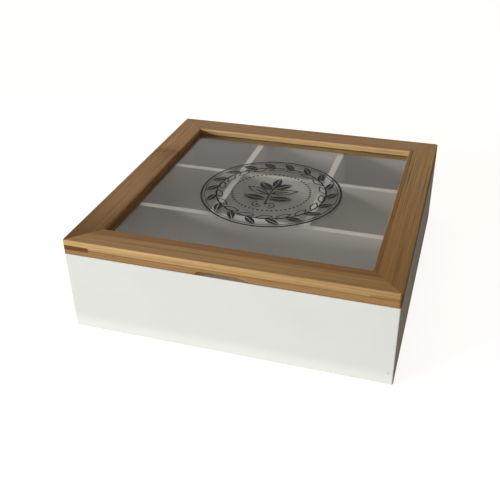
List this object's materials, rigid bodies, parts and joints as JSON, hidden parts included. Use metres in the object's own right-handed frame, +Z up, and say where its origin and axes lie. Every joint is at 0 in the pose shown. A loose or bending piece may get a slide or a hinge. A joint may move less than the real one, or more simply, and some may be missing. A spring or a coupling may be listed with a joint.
{
  "type": "tea box",
  "caption": "Square tea box in white painted wood with a lattice of dividers and a hinged bamboo lid that frames a printed glass window",
  "frame": {"origin": "middle of the flat underside, on the surface the box stands on", "axes": "+Z up, -Y to the front with the finger scoop, +X to the right as seen from the front; the hinges are on the +Y side"},
  "size_m": [0.24, 0.2467, 0.0754],
  "materials": {
    "painted_wood": "satin white paint",
    "painted_board": "matt white paint",
    "bamboo": "satin lacquer over strip-laminated bamboo",
    "spline_bamboo": "satin lacquer over carbonised bamboo",
    "window_glass": "clear float glass with a black screen print",
    "hinge_steel": "nickel plated",
    "screw_steel": "nickel plated",
    "wire_steel": "bright drawn wire"
  },
  "bodies": {
    "box": {"front_panel": "painted_wood", "back_panel": "painted_wood", "left_side_panel": "painted_wood", "right_side_panel": "painted_wood", "bottom_panel": "painted_board", "front_cross_divider": "painted_board", "back_cross_divider": "painted_board", "left_divider": "painted_board", "right_divider": "painted_board", "corner_brads": "wire_steel", "floor_brads": "wire_steel", "left_hinge_box_leaf": "hinge_steel", "right_hinge_box_leaf": "hinge_steel", "left_hinge_pin": "hinge_steel", "right_hinge_pin": "hinge_steel", "box_hinge_screws": "screw_steel"},
    "lid": {"lid_front_rail": "bamboo", "lid_back_rail": "bamboo", "lid_left_stile": "bamboo", "lid_right_stile": "bamboo", "window_glass": "window_glass", "front_left_spline": "spline_bamboo", "front_right_spline": "spline_bamboo", "back_left_spline": "spline_bamboo", "back_right_spline": "spline_bamboo", "left_hinge_lid_leaf": "hinge_steel", "right_hinge_lid_leaf": "hinge_steel", "lid_hinge_screws": "screw_steel"}
  },
  "joints": [
    {"name": "lid_hinge", "type": "hinge", "parent": "box", "child": "lid", "pos_m": [0, 0.1223, 0.06415], "axis": [-1, 0, 0], "range_deg": [0, 95]}
  ]
}
